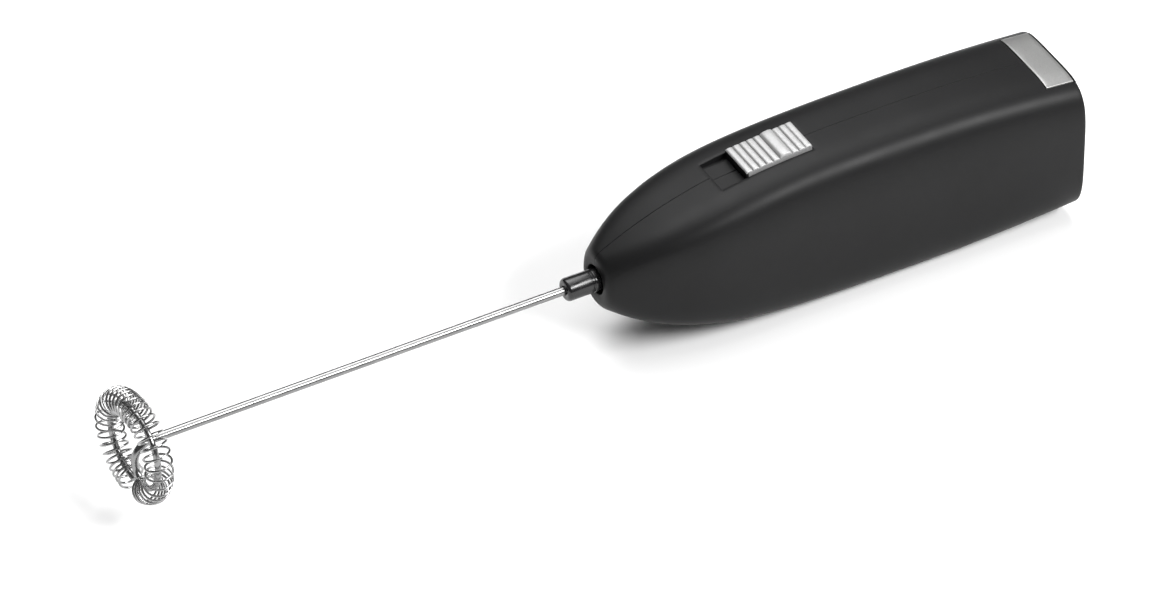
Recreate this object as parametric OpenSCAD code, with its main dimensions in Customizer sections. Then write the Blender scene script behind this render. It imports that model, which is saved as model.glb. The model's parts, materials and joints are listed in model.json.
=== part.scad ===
// Battery milk frother: a two-cell handle with a slide switch and a hinged
// battery door, and a steel shaft that spins a whisk ring.
//
// Tool frame: x runs along the spin axis, from 0 at the nose face towards the
// battery door; the whisk is at negative x. -y is the left side, +z is the
// switch side. row() moves this frame to the row frame.

/* [Housing] */
// Thickness of the housing wall
wall = 1.5; // [1.2:0.1:1.8]
// Width of the handle at its rear end
handle_w = 27.2; // [22.6:0.1:32.5]
// Width that the side walls reach at the end of the nose
shoulder_w = 25.5; // [22:0.5:32]
// Extra half height of the belly over the rear end
belly = 2.2; // [0:0.1:5]
// Width of the nose face
nose_w = 10.4; // [9:0.2:13]
// Height of the nose face
nose_h = 12; // [9.5:0.5:15]
// Length over which the sides grow from the nose
nose_len_w = 34.5; // [28:0.5:42]
// Length over which the top and the underside grow from the nose
nose_len_h = 67.5; // [56:0.5:81]
// Squareness of the cross-section, as a superellipse exponent
squareness = 4.5; // [3:0.1:6]
// Radius of the rounded nose edge
nose_round = 1; // [0.4:0.1:1.4]
// Radius of the rounded rear edge
rear_round = 0.5; // [0.2:0.1:1]
// Radius of the hole in the nose
nose_hole_r = 3.15; // [3:0.05:3.6]
// Running gap between pieces that move past each other
gap = 0.2; // [0.1:0.05:0.3]

/* [Cells] */
// Diameter of one cell, jacket included
cell_d = 14; // [12:0.1:15]
// Length of one cell with its positive nub
cell_len = 50.5; // [42:0.5:61]
// Free gap between the two cells
cell_gap = 0.6; // [0.2:0.1:1.5]
// Height of the positive nub
nub_h = 1.3; // [1:0.1:1.8]
// Radius of the positive nub
nub_r = 2.75; // [2:0.05:3]
// Thickness of the printed jacket
jacket_t = 0.15; // [0.1:0.05:0.3]

/* [Motor] */
// Diameter of the motor can
motor_d = 20.1; // [17:0.1:22]
// Size of the motor across its flats
motor_flats = 15.1; // [13.5:0.1:17]
// Length of the steel can
can_len = 20; // [18:0.5:24]
// Length of the end bell
bell_len = 5; // [4.5:0.5:7]
// Thickness of the can's steel
can_t = 0.8; // [0.5:0.1:1]
// Radius of the motor shaft
motor_shaft_r = 1; // [0.9:0.05:1.2]
// Length kept free behind the motor for wires
wiring_room = 5.5; // [5.4:0.1:9]

/* [Whisk] */
// Distance from the nose face to the middle of the whisk ring
whisk_reach = 102; // [85:1:122]
// Radius of the straight steel shaft
shaft_r = 0.9; // [0.8:0.05:1.1]
// Radius of the ring's wire
ring_wire_r = 0.65; // [0.5:0.05:0.8]
// Radius of the ring at its wire's middle
ring_r = 8.9; // [7.5:0.1:10.6]
// Distance that the ring's left side leans back from its middle plane
ring_lean = 0.65; // [0.4:0.05:1]
// Radius of the spring's own wire
spring_wire_r = 0.25; // [0.2:0.05:0.35]
// Radius of a spring loop at its wire's middle
loop_r = 2.7; // [2.2:0.1:3.2]
// Outward offset of the loops from the ring's wire
loop_offset = 0.4; // [0:0.1:0.8]
// Number of loops in the spring
loops = 36; // [24:1:44]
// Crowding of the loops at the top and bottom of the ring
crowding = 0.3; // [0:0.05:0.5]
// Radius of the coupling sleeve
chuck_r = 2.4; // [2.2:0.05:2.7]
// Length of the sleeve in front of the nose
chuck_out = 7; // [5:0.5:10]
// Chamfer of the sleeve's front end
chuck_chamfer = 0.7; // [0.3:0.1:1]

/* [Switch] */
// Distance from the nose to the middle of the button at rest
switch_x = 39.4; // [37:0.1:41]
// Length of the button
button_len = 15; // [13:0.1:16.5]
// Width of the button
button_w = 8.5; // [7.1:0.1:10.2]
// Travel of the button towards the nose
travel = 5.5; // [4:0.1:5.8]
// Height of the ridges over the surface round the button
button_rise = 1; // [0.6:0.1:1.4]
// Depth of the pocket below the surface at the button's middle
pocket_depth = 1.5; // [1.2:0.1:1.8]
// Thickness of the pocket's floor
floor_t = 1.2; // [1:0.1:1.5]

/* [Door] */
// Thickness of the battery door
door_t = 1.8; // [1.5:0.1:2.4]
// Length of the bright latch plate
latch_len = 6.5; // [5.5:0.1:7.8]
// Width of the bright latch plate
latch_w = 17.8; // [15:0.1:21]
// Thickness of the bright latch plate
latch_t = 0.6; // [0.5:0.05:0.8]
// Width of the hinge arm
hinge_w = 12; // [10:0.5:14]
// Radius of the hinge knuckle
knuckle_r = 1.9; // [1.7:0.05:2.2]
// Radius of the hinge pin
pin_r = 0.75; // [0.6:0.05:0.9]

/* [Hidden] */

fine = 48;            // $fn of visible round parts
tiny = 0.01;          // overlap that makes a cut break through a face
side_count = 40;      // sides of one handle section
nose_stations = 13;   // sections from the nose to the end of the growing part
rear_stations = 4;    // sections behind it
nose_exponent_w = 2.6;
nose_exponent_h = 3.2;
section_blend = 12;   // length over which the sections turn from oval to square

// Cells: the upper one points its nub at the door, the lower one at the motor.
cell_r = cell_d / 2;
cell_z = cell_r + cell_gap / 2;
cells_half_h = cell_z + cell_r;

// Half sizes of the handle.
rear_half_h = cells_half_h + wall;
belly_half_h = rear_half_h + belly;
rear_half_w = handle_w / 2;
shoulder_half_w = shoulder_w / 2;

// The motor starts where the inside is wide and high enough for it.
motor_gap = 0.3;
motor_x = max(
  station_of(motor_flats / 2 + motor_gap + wall, nose_w / 2, shoulder_half_w, nose_len_w, nose_exponent_w),
  station_of(motor_d / 2 + motor_gap + wall, nose_h / 2, belly_half_h, nose_len_h, nose_exponent_h)
) + 0.6;
bell_x = motor_x + can_len;
motor_end_x = bell_x + bell_len;

// Slide frame of the switch: its x axis follows the surface under the button.
slide_rise = half_h(switch_x + button_len / 2) - half_h(switch_x - button_len / 2);
slide_angle = atan(slide_rise / button_len);
pocket_front = -(button_len / 2 + travel + gap);
pocket_rear = button_len / 2 + gap;
pocket_half_w = button_w / 2 + gap;
stem_half_len = 1.7;
stem_half_w = 1.4;
tub_wall = 1.2;
tub_z = -(pocket_depth + floor_t);
clip_z = tub_z - gap / 2;
clip_t = 1;
clip_half_len = 4.5;
leaf_t = 0.25;
leaf_z = clip_z - clip_t - leaf_t;
terminal_t = 0.3;
terminal_z = leaf_z - 0.15;
carrier_t = 1.1;
carrier_z = terminal_z - terminal_t - carrier_t;
carrier_front = pocket_front + 0.7;
carrier_rear = pocket_rear - 0.1;
carrier_half_w = 7;

// The battery bay behind the motor and the switch.
cradle_t = 1.5;
front_contact_len = 3.5;
switch_end_x = slide_point([carrier_rear, 0, carrier_z])[0];
cradle_x = max(motor_end_x + wiring_room, switch_end_x + 0.8 - cradle_t - front_contact_len);
cells_x = cradle_x + cradle_t + front_contact_len;
cells_end_x = cells_x + cell_len;
rear_contact_len = 4.2;
door_x = cells_end_x + rear_contact_len;
handle_len = door_x + door_t;

// Wire of the whisk: the bend under the shaft and the foot bend that meets the ring.
bend_r = 0.45 * ring_r;
foot_r = 0.39 * ring_r;
foot_drop = sqrt(pow(ring_r - foot_r, 2) - foot_r * foot_r);
foot_a = atan2(foot_r, foot_drop);
ring_end_a = 356;
lead_in = 0.3;
shaft_end_x = -whisk_reach + bend_r + lead_in;

// Front end of the whisk, and the move to the row frame.
loop_out_r = loop_r + spring_wire_r;
front_x = -(whisk_reach + ring_lean + loop_out_r);
row_shift = [-(handle_len + front_x) / 2, 0, belly_half_h];

// Hinge of the door.
hinge_x = handle_len - knuckle_r;
hinge_z = -(rear_half_h - knuckle_r);
sill_r = knuckle_r + 0.55;
door_foot_z = hinge_z + sill_r + gap + 0.05;
latch_edge = 0.4;
latch_rear = handle_len - latch_edge;
latch_front = latch_rear - latch_len;
latch_lift = 0.1;
tongue_t = wall - 0.2;
door_inset = wall + gap;
door_half_w = rear_half_w - door_inset;
foot_half_w = 0.8 * door_half_w;
foot_chamfer_h = 3;

// Pieces inside.
nose_wall = 2;
motor_r = motor_d / 2;
bush_front_r = 3.07;
bush_rear_r = 2.2;
bush_bore_r = motor_shaft_r + 0.05;
boss_out = 1.6;
sleeve_rear = motor_x - boss_out - 0.5;
shaft_joint_x = 2.9;
rotor_r = motor_flats / 2 - can_t - 0.45;
magnet_gap = 0.5;
rotor_x = motor_x + 4;
rotor_end_x = bell_x - 2.2;
commutator_r = 2.3;
tag_y = 5.2;
plate_t = 0.4;
plate_half = 4.2;
contact_x = cradle_x + cradle_t + plate_t;
door_plate_x = door_x - plate_t;
tag_front_x = cradle_x - 0.9;
coil_wire_r = 0.3;
wire_r = 0.55;
rib_t = 1.2;
rib_x = [motor_x + 2.5, bell_x - 4.5];
screw_spots = [[motor_x - 3.3, -5.7], [motor_end_x + wiring_room / 2, -(motor_r + 2.2)]];
screw_head_r = 1.9;
screw_head_t = 1.2;
screw_shank_r = 0.95;
screw_len = 12;
screw_sink = 3.6;
boss_r = 2.6;

// ---- Shape of the handle ----

// Half size at x of a side that grows from v0 to v1 over len, then eases to v2.
function profile(x, v0, v1, v2, len, power) =
  x < len
    ? v0 + (v1 - v0) * (1 - pow(1 - max(x, 0) / len, power))
    : v1 + (v2 - v1) * pow((x - len) / (handle_len - len), 2);

// Where a growing side reaches the half size v.
function station_of(v, v0, v1, len, power) =
  len * (1 - pow(1 - (v - v0) / (v1 - v0), 1 / power));

function half_w(x) = profile(x, nose_w / 2, shoulder_half_w, rear_half_w, nose_len_w, nose_exponent_w);
function half_h(x) = profile(x, nose_h / 2, belly_half_h, rear_half_h, nose_len_h, nose_exponent_h);
function exponent(x) = 2 + (squareness - 2) * (1 - pow(1 - min(max(x, 0) / section_blend, 1), 2));

// How far the rounded ends draw a section in.
function round_inset(x) =
  x < nose_round ? nose_round - sqrt(nose_round * nose_round - pow(nose_round - x, 2))
  : x > handle_len - rear_round ? rear_round - sqrt(max(0, rear_round * rear_round - pow(x - handle_len + rear_round, 2)))
  : 0;

// One section of the handle, drawn in by inset.
function section(x, inset) =
  let (a = half_w(x) - inset, b = half_h(x) - inset, n = exponent(x))
  [for (i = [0 : side_count - 1])
    let (t = 360 * (i + 0.5) / side_count, c = cos(t), s = sin(t),
         r = pow(pow(abs(c) / a, n) + pow(abs(s) / b, n), -1 / n))
    [x, r * c, r * s]];

// Places of the sections along the whole handle.
all_stations = concat(
  [for (i = [0 : nose_stations]) nose_len_h * pow(i / nose_stations, 1.4)],
  [for (i = [1 : rear_stations]) lerp(nose_len_h, handle_len, i / rear_stations)]
);

// Faces of a closed tube of rings, with flat ends.
function tube_faces(rings, sides) = concat(
  [[for (j = [0 : sides - 1]) j]],
  [[for (j = [0 : sides - 1]) (rings - 1) * sides + sides - 1 - j]],
  [for (i = [0 : rings - 2], j = [0 : sides - 1])
    let (k = (j + 1) % sides)
    each [
      [i * sides + j, (i + 1) * sides + j, (i + 1) * sides + k],
      [i * sides + j, (i + 1) * sides + k, i * sides + k]
    ]]
);

// Solid handle shape drawn in by inset, from x0 to x1. The outer skin also has rounded ends.
module loft(inset, x0, x1, rounded = false) {
  nose = rounded && x0 == 0 ? [0.15, 0.5, 1] * nose_round : [];
  rear = rounded ? [handle_len - rear_round, handle_len - 0.4 * rear_round] : [];
  low = x0 + 0.4 + (len(nose) > 0 ? nose_round : 0);
  high = x1 - 0.4 - (rounded ? rear_round : 0);
  stations = concat([x0], nose, [for (x = all_stations) if (x > low && x < high) x], rear, [x1]);
  rings = [for (x = stations) section(x, inset + (rounded ? round_inset(x) : 0))];
  polyhedron(
    points = [for (r = rings, p = r) p],
    faces = tube_faces(len(rings), side_count),
    convexity = 6
  );
}

// ---- Small helpers ----

module rod_x(x0, x1, r, sides = fine) {
  translate([x0, 0, 0]) rotate([0, 90, 0]) cylinder(h = x1 - x0, r = r, $fn = sides);
}

module tube_x(x0, x1, r, hole_r, sides = fine) {
  difference() {
    rod_x(x0, x1, r, sides);
    rod_x(x0 - 1, x1 + 1, hole_r, sides);
  }
}

module rod_y(y0, y1, r, sides = fine) {
  translate([0, y0, 0]) rotate([-90, 0, 0]) cylinder(h = y1 - y0, r = r, $fn = sides);
}

// Box from low to high corner.
module block(low, high) {
  translate(low) cube(high - low);
}

module slide_frame() {
  translate([switch_x, 0, half_h(switch_x)]) rotate([0, -slide_angle, 0]) children();
}

module row() {
  translate(row_shift) children();
}

// A round wire along points. refs are directions that are never along the wire.
module sweep(points, refs, radii, sides) {
  last = len(points) - 1;
  rings = [for (i = [0 : last])
    let (
      t0 = points[min(i + 1, last)] - points[max(i - 1, 0)],
      t = t0 / norm(t0),
      n0 = refs[i] - (refs[i] * t) * t,
      n = n0 / norm(n0),
      b = cross(t, n)
    )
    [for (j = [0 : sides - 1])
      let (a = 360 * j / sides)
      points[i] + radii[i] * (cos(a) * n + sin(a) * b)]];
  polyhedron(
    points = [for (r = rings, p = r) p],
    faces = tube_faces(last + 1, sides),
    convexity = 10
  );
}

function lerp(a, b, t) = a + (b - a) * t;

// Point at t of a cubic Bezier curve.
function bezier(p, t) =
  pow(1 - t, 3) * p[0] + 3 * t * pow(1 - t, 2) * p[1]
  + 3 * t * t * (1 - t) * p[2] + pow(t, 3) * p[3];

// ---- Housing ----

// Outline of the motor across the axis, grown by extra, from x0 to x1.
module motor_envelope(x0, x1, extra = 0) {
  half = motor_flats / 2 + extra;
  intersection() {
    rod_x(x0, x1, motor_r + extra);
    block([x0 - 1, -half, -motor_r - 1 - extra], [x1 + 1, half, motor_r + 1 + extra]);
  }
}

// Ring inside the wall, from x to x + thick, that leaves a hole of the loft drawn in by hole_inset.
module wall_ring(x, thick, hole_inset) {
  difference() {
    loft(wall / 2, x, x + thick);
    loft(hole_inset, x - 1, x + thick + 1);
  }
}

module motor_ribs() {
  for (x = rib_x) difference() {
    loft(wall / 2, x, x + rib_t);
    motor_envelope(x - 1, x + rib_t + 1, 0.03);
    slide_frame() block(
      [pocket_front - 4, -carrier_half_w - gap, carrier_z - gap],
      [pocket_rear, carrier_half_w + gap, 5]
    );
  }
}

// Two rings that hold the cradle's plate between them.
module cradle_ribs() {
  difference() {
    union() {
      wall_ring(cradle_x - 1, 1, wall + 1.2);
      wall_ring(cradle_x + cradle_t, 1, wall + 1.2);
    }
    slide_frame() block([-5, -carrier_half_w - gap, carrier_z - gap], [pocket_rear + 4, carrier_half_w + gap, 5]);
  }
}

// Ridges along both side walls that keep the cells apart.
module cell_ridges() {
  tip = 0.65 * cell_r;
  reach = cell_gap / 2 + 0.9;
  intersection() {
    loft(wall / 2, cells_x + 4, cells_end_x - 4);
    for (side = [-1, 1]) scale([1, side, 1])
      block([cells_x, tip, -reach], [cells_end_x, rear_half_w + belly, reach]);
  }
}

module pocket_tub() {
  intersection() {
    loft(wall / 2, switch_x + pocket_front - 4, switch_x + pocket_rear + 4);
    slide_frame() block(
      [pocket_front - tub_wall, -pocket_half_w - tub_wall, tub_z],
      [pocket_rear + tub_wall, pocket_half_w + tub_wall, 3]
    );
  }
}

module pocket_cut() {
  slide_frame() {
    block([pocket_front, -pocket_half_w, -pocket_depth], [pocket_rear, pocket_half_w, 6]);
    block(
      [-stem_half_len - travel - gap, -stem_half_w - gap, tub_z - 1],
      [stem_half_len + gap, stem_half_w + gap, 0]
    );
  }
}

module screw_bosses() {
  for (spot = screw_spots) intersection() {
    loft(wall / 2, spot[0] - boss_r - 1, spot[0] + boss_r + 1);
    translate([spot[0], 0, spot[1]]) rod_y(-half_w(spot[0]), half_w(spot[0]), boss_r);
  }
}

// Through holes, sunk heads and pilot holes of the housing screws.
module screw_cuts() {
  for (spot = screw_spots) translate([spot[0], 0, spot[1]]) {
    seat = half_w(spot[0]) - screw_sink;
    rod_y(seat, seat + 20, screw_head_r + 0.15);
    rod_y(0, seat + tiny, screw_shank_r + 0.15);
    rod_y(seat - screw_len - 0.3, tiny, screw_shank_r);
  }
}

// Room that the door needs when shut and while it swings.
module door_room() {
  notch_half = latch_w / 2 + gap;
  intersection() {
    loft(wall, door_x - 2, handle_len + 5);
    block([door_x - gap, -50, door_foot_z - gap], [handle_len + 5, 50, 50]);
  }
  block([latch_front - gap, -notch_half, 0], [handle_len + 5, notch_half, 50]);
  block(
    [hinge_x - knuckle_r - gap, -hinge_w / 2 - gap, -50],
    [handle_len + 5, hinge_w / 2 + gap, door_foot_z]
  );
  difference() {
    block([hinge_x, -50, hinge_z], [handle_len + 5, 50, door_foot_z]);
    translate([hinge_x, 0, hinge_z]) rod_y(-51, 51, sill_r);
  }
}

module housing() {
  difference() {
    union() {
      difference() {
        loft(0, 0, handle_len, true);
        loft(wall, nose_wall, door_x + tiny);
      }
      motor_ribs();
      cradle_ribs();
      cell_ridges();
      pocket_tub();
      screw_bosses();
    }
    rod_x(-1, nose_wall + 1, nose_hole_r);
    rod_x(nose_wall, motor_x - 1, chuck_r + 0.5);
    pocket_cut();
    screw_cuts();
    door_room();
    translate([hinge_x, 0, hinge_z]) rod_y(-hinge_w / 2 - 4, hinge_w / 2 + 4, pin_r);
  }
}

// The housing's part on one side of the parting plane: -1 is the left side.
module housing_side(side) {
  intersection() {
    housing();
    scale([1, side, 1]) block([-5, 0, -50], [handle_len + 10, 50, 50]);
  }
}

module housing_left() {
  row() color("#26262a") housing_side(-1);
}

module housing_right() {
  row() color("#26262a") housing_side(1);
}

module housing_screws() {
  row() color("silver") for (spot = screw_spots) translate([spot[0], 0, spot[1]]) {
    seat = half_w(spot[0]) - screw_sink;
    difference() {
      rod_y(seat, seat + screw_head_t, screw_head_r);
      for (turn = [0, 90]) translate([0, seat + screw_head_t, 0]) rotate([0, turn, 0])
        block([-1.2, -0.6, -0.25], [1.2, 1, 0.25]);
    }
    rod_y(seat - screw_len, seat, screw_shank_r);
  }
}

// ---- Cells and their contacts ----

module battery_cradle() {
  slot = 1.2;
  row() color("#2f2f33") difference() {
    loft(wall + 0.1, cradle_x, cradle_x + cradle_t);
    slide_frame() block([-5, -50, carrier_z - 0.4], [20, 50, 20]);
    for (z = [cell_z - plate_half, -cell_z + plate_half - plate_t])
      block([cradle_x - 1, -slot, z], [cradle_x + cradle_t + 1, slot, z + plate_t]);
  }
}

// One cell's can between its flat end and its nub's tip, drawn with the nub towards +x.
module cell_can() {
  rod_x(0, cell_len - nub_h, cell_r - jacket_t);
  rod_x(cell_len - nub_h - tiny, cell_len, nub_r);
}

module cell_jacket() {
  tube_x(0.6, cell_len - nub_h - 0.4, cell_r, cell_r - jacket_t);
}

module place_upper_cell() {
  translate([cells_x, 0, cell_z]) children();
}

module place_lower_cell() {
  translate([cells_end_x, 0, -cell_z]) rotate([0, 0, 180]) children();
}

module battery_upper() {
  row() color("silver") place_upper_cell() cell_can();
}

module battery_lower() {
  row() color("silver") place_lower_cell() cell_can();
}

module battery_jackets() {
  row() color("seagreen") {
    place_upper_cell() cell_jacket();
    place_lower_cell() cell_jacket();
  }
}

// Contact plate behind the cradle with a tag that passes through it.
module contact_plate(z, tag_z) {
  x = cradle_x + cradle_t;
  block([x, -plate_half, z - plate_half], [x + plate_t, plate_half, z + plate_half]);
  block([tag_front_x, -1.2, tag_z], [x + tiny, 1.2, tag_z + plate_t]);
}

module front_negative_plate() {
  row() color("gold") contact_plate(cell_z, cell_z - plate_half);
}

module front_positive_contact() {
  row() color("gold") {
    contact_plate(-cell_z, -cell_z + plate_half - plate_t);
    translate([contact_x - tiny, 0, -cell_z]) rotate([0, 90, 0])
      cylinder(h = cells_x - contact_x + tiny, r1 = 3.2, r2 = 1.9, $fn = fine);
  }
}

// Conical contact spring between x0 at its wide end and x1 at its narrow end.
module contact_coil(x0, x1, z) {
  turns = 3;
  per_turn = 14;
  count = turns * per_turn;
  points = [for (i = [0 : count])
    let (t = i / count, a = 360 * turns * t, r = lerp(3.3, 1.9, t))
    [lerp(x0, x1, min(max((i - 4) / (count - 8), 0), 1)), r * cos(a), z + r * sin(a)]];
  refs = [for (p = points) [1, 0, 0]];
  radii = [for (p = points) coil_wire_r];
  sweep(points, refs, radii, 6);
}

module front_negative_spring() {
  row() color("gold") contact_coil(contact_x + coil_wire_r, cells_x - coil_wire_r, cell_z);
}

// ---- Motor ----

module motor_can() {
  row() color("lightsteelblue") difference() {
    motor_envelope(motor_x, bell_x);
    intersection() {
      rod_x(motor_x + can_t, bell_x + 1, motor_r - can_t);
      block(
        [motor_x, -motor_flats / 2 + can_t, -motor_r],
        [bell_x + 1, motor_flats / 2 - can_t, motor_r]
      );
    }
    rod_x(motor_x - 1, motor_x + can_t + 1, bush_front_r);
  }
}

module motor_end_bell() {
  row() color("ivory") difference() {
    motor_envelope(bell_x, motor_end_x);
    rod_x(bell_x - 1, motor_end_x - 1.5, 6.6);
    rod_x(bell_x, motor_end_x + 1, bush_rear_r);
    for (side = [-1, 1]) motor_tag(side);
  }
}

// Terminal tag of the motor on one side.
module motor_tag(side) {
  translate([0, side * tag_y, 0])
    block([motor_end_x - 2, -0.2, -1], [motor_end_x + 2.2, 0.2, 1]);
}

module motor_terminals() {
  row() color("gold") for (side = [-1, 1]) motor_tag(side);
}

module motor_brushes() {
  blade_y = commutator_r + 0.06;
  foot_x = motor_end_x - 2.3;
  row() color("peru") for (side = [-1, 1]) scale([1, side, 1]) {
    block([bell_x + 0.4, blade_y, -1], [foot_x + 0.3, blade_y + 0.3, 1]);
    block([foot_x, blade_y, -1], [foot_x + 0.3, tag_y + 0.2, 1]);
  }
}

module motor_magnets() {
  row() color("dimgray") intersection() {
    tube_x(motor_x + 3, bell_x - 1.2, motor_r - can_t - 0.03, rotor_r + magnet_gap);
    for (side = [-1, 1]) scale([1, 1, side]) block(
      [motor_x, -motor_flats / 2 + can_t + 0.2, 3],
      [bell_x, motor_flats / 2 - can_t - 0.2, motor_r]
    );
  }
}

module motor_bushings() {
  row() color("goldenrod") {
    tube_x(motor_x - boss_out, motor_x + 1.6, bush_front_r, bush_bore_r);
    tube_x(motor_end_x - 1.5, motor_end_x + 0.8, bush_rear_r, bush_bore_r);
  }
}

module motor_shaft() {
  row() color("silver") rod_x(shaft_joint_x + 0.2, motor_end_x + 1.3, motor_shaft_r);
}

module armature_tooth(width) {
  block([rotor_x, -width / 2, motor_shaft_r], [rotor_end_x, width / 2, rotor_r - 0.9]);
}

module armature_core() {
  row() color("gray") difference() {
    union() {
      rod_x(rotor_x, rotor_end_x, 2.4);
      for (k = [0 : 2]) rotate([120 * k, 0, 0]) {
        armature_tooth(2.2);
        intersection() {
          tube_x(rotor_x, rotor_end_x, rotor_r, rotor_r - 1);
          block([rotor_x, -0.66 * rotor_r, 0], [rotor_end_x, 0.66 * rotor_r, rotor_r]);
        }
      }
    }
    rod_x(rotor_x - 1, rotor_end_x + 1, motor_shaft_r);
  }
}

// A coil round each tooth, with its end turns past the core's ends.
module armature_windings() {
  overhang = 0.9;
  row() color("darkorange") for (k = [0 : 2]) rotate([120 * k, 0, 0]) difference() {
    intersection() {
      block([rotor_x - overhang, -2.1, 2.6], [rotor_end_x + overhang, 2.1, rotor_r]);
      rod_x(rotor_x - 2, rotor_end_x + 2, rotor_r - 1.05);
    }
    armature_tooth(2.2);
  }
}

module commutator() {
  row() color("peru") difference() {
    tube_x(rotor_end_x + 1.2, motor_end_x - 1.8, commutator_r, motor_shaft_r);
    for (k = [0 : 2]) rotate([120 * k + 60, 0, 0])
      block([bell_x - 1, -0.15, commutator_r - 0.4], [motor_end_x, 0.15, commutator_r + 1]);
  }
}

// ---- Whisk ----

module coupling_sleeve() {
  row() color("#1b1b1d") difference() {
    union() {
      rod_x(-chuck_out + chuck_chamfer, sleeve_rear, chuck_r);
      translate([-chuck_out, 0, 0]) rotate([0, 90, 0])
        cylinder(h = chuck_chamfer, r1 = chuck_r - chuck_chamfer, r2 = chuck_r, $fn = fine);
    }
    rod_x(-chuck_out - 1, shaft_joint_x, shaft_r);
    rod_x(shaft_joint_x - tiny, sleeve_rear + 1, motor_shaft_r);
  }
}

module whisk_shaft() {
  row() color("silver") rod_x(shaft_end_x, shaft_joint_x - 0.2, shaft_r);
}

// Centre of the ring's wire at the angle a from the bottom, towards the left side.
function ring_point(a) = [-whisk_reach + ring_lean * sin(a), -ring_r * sin(a), -ring_r * cos(a)];

// Outward direction of the ring there.
function ring_out(a) = [0, -sin(a), -cos(a)];

// The wire bends down from the shaft, and a wider foot bend runs into the ring from inside.
module whisk_ring() {
  bend_count = 8;
  foot_count = 12;
  turn_count = 54;
  bend = concat([[shaft_end_x, 0, 0]], [for (i = [0 : bend_count]) let (a = 90 * i / bend_count)
    [-whisk_reach + bend_r * (1 - sin(a)), 0, -bend_r * (1 - cos(a))]]);
  foot_turns = [for (i = [1 : foot_count]) (90 + foot_a) * i / foot_count];
  foot = [for (a = foot_turns) [
    -whisk_reach + ring_lean * sin(foot_a) * pow(a / (90 + foot_a), 2),
    -foot_r * (1 - cos(a)),
    -foot_drop - foot_r * sin(a)
  ]];
  turn_angles = [for (i = [1 : turn_count]) lerp(foot_a, ring_end_a, i / turn_count)];
  points = concat(bend, foot, [for (a = turn_angles) ring_point(a)]);
  refs = concat(
    [for (p = bend) [0, 1, 0]],
    [for (a = foot_turns) [0, cos(a), -sin(a)]],
    [for (a = turn_angles) ring_out(a)]
  );
  taper = len(bend) + len(foot);
  radii = [for (i = [0 : len(points) - 1]) lerp(shaft_r - 0.02, ring_wire_r, min(i / taper, 1))];
  row() color("silver") sweep(points, refs, radii, 12);
}

// Loops crowd at the top and the bottom of the ring.
function loop_phase(t) = t - crowding / 2 * sin(720 * t) / (2 * PI);

module whisk_spring() {
  per_loop = 12;
  count = loops * per_loop;
  start_a = 19;
  end_a = 352;
  points = [for (i = [0 : count])
    let (
      t = i / count,
      a = lerp(start_a, end_a, loop_phase(t)),
      phase = 360 * loops * t,
      middle = ring_point(a) + loop_offset * ring_out(a)
    )
    middle + loop_r * (cos(phase) * ring_out(a) + sin(phase) * [1, 0, 0])];
  refs = [for (i = [0 : count])
    let (a = lerp(start_a, end_a, loop_phase(i / count)), phase = 360 * loops * i / count)
    cos(phase) * ring_out(a) + sin(phase) * [1, 0, 0]];
  radii = [for (p = points) spring_wire_r];
  row() color("silver") sweep(points, refs, radii, 6);
}

// ---- Switch ----

module switch_button() {
  half_len = button_len / 2;
  half = button_w / 2;
  bottom = -pocket_depth + gap;
  pitch = button_len / 9.6;
  ridge_r = 0.3 * pitch;
  row() color("silver") slide_frame() {
    block([-half_len, -half, bottom], [half_len, half, button_rise - ridge_r]);
    block([-stem_half_len, -stem_half_w, clip_z - clip_t], [stem_half_len, stem_half_w, bottom + tiny]);
    for (i = [0, 1, 2, 3, 4, 6.75, 7.7, 8.65])
      translate([(i - 4.325) * pitch, 0, button_rise - ridge_r]) rod_y(-half, half, ridge_r);
    translate([1.075 * pitch, 0, button_rise - ridge_r]) rod_y(-half, half, 0.55 * pitch);
  }
}

// Plate under the pocket's floor that holds the button's stem.
module switch_clip() {
  row() color("#2f2f33") slide_frame() difference() {
    block([-clip_half_len, -3.6, clip_z - clip_t], [clip_half_len, 3.6, clip_z]);
    block([-stem_half_len, -stem_half_w, clip_z - 2], [stem_half_len, stem_half_w, clip_z + 1]);
  }
}

module switch_leaf() {
  row() color("gold") slide_frame()
    block([-clip_half_len + 0.5, -1.8, leaf_z], [clip_half_len - 0.5, 1.8, leaf_z + leaf_t]);
}

// Shallow box under the clip that carries the two fixed contacts.
module switch_carrier() {
  row() color("#3a3a3e") slide_frame() {
    block([carrier_front, -carrier_half_w, carrier_z], [carrier_rear, carrier_half_w, carrier_z + carrier_t]);
    for (x = [carrier_front, carrier_rear - 1])
      block([x, -carrier_half_w + 1.5, carrier_z + carrier_t - tiny], [x + 1, carrier_half_w - 1.5, tub_z]);
  }
}

// Strip from x0 to x1 with a side tag that ends outside the carrier.
module switch_strip(x0, x1, tag_x, side) {
  slide_frame() scale([1, side, 1]) {
    block([x0, -1.6, terminal_z - terminal_t], [x1, 1.6, terminal_z]);
    block([tag_x, -1.6, terminal_z - terminal_t], [tag_x + 1.8, carrier_half_w + 1, terminal_z]);
  }
}

front_tag_x = -clip_half_len - travel + 1.2;
rear_tag_x = -0.5;

module switch_terminal_front() {
  row() color("gold") switch_strip(-clip_half_len - travel, -clip_half_len - 1.5, front_tag_x, 1);
}

module switch_terminal_rear() {
  row() color("gold") switch_strip(-clip_half_len + 1.5, clip_half_len + 0.5, rear_tag_x, -1);
}

// ---- Wires held between the pieces ----

module wire(p, ref) {
  count = 16;
  points = [for (i = [0 : count]) bezier(p, i / count)];
  refs = [for (q = points) ref];
  radii = [for (q = points) wire_r];
  row() sweep(points, refs, radii, 8);
}

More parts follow.
